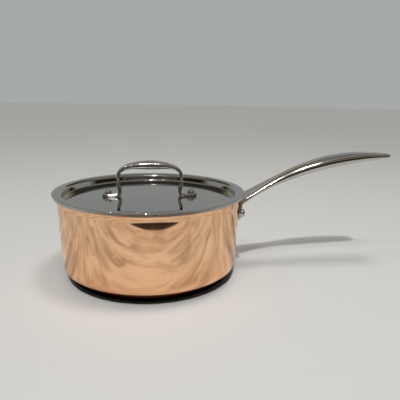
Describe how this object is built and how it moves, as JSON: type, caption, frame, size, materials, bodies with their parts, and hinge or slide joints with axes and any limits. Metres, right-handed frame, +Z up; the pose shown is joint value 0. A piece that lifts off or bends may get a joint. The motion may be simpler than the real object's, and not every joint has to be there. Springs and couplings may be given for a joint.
{
  "type": "saucepan with lid",
  "caption": "Round copper-clad saucepan with a turned-out rim, a long riveted stick handle and a flat-flanged steel lid with a riveted loop handle.",
  "frame": {"origin": "centre of the flat base, on the surface the pan stands on", "axes": "+Z up along the pan's axis, +X out along the long handle, +Y to the left of the handle seen from its tip"},
  "size_m": [0.3543, 0.1936, 0.1273],
  "materials": {
    "copper": "satin polished copper",
    "aluminium_core": "bare edge",
    "steel_lining": "fine concentric brushing",
    "handle_steel": "mirror polished stainless steel",
    "rivet_steel": "mirror polished stainless steel",
    "lid_steel": "mirror polished stainless steel",
    "loop_steel": "mirror polished stainless steel"
  },
  "bodies": {
    "pan": {"copper_shell": "copper", "aluminium_core": "aluminium_core", "steel_lining": "steel_lining", "long_handle": "handle_steel", "handle_rivet_near": "rivet_steel", "handle_rivet_far": "rivet_steel"},
    "lid": {"lid": "lid_steel", "lid_handle": "loop_steel", "lid_rivet_left": "rivet_steel", "lid_rivet_right": "rivet_steel"}
  },
  "joints": [
    {"name": "lid_lift", "type": "slide", "parent": "pan", "child": "lid", "axis": [0, 0, 1], "range_m": [0, 0.1]}
  ]
}
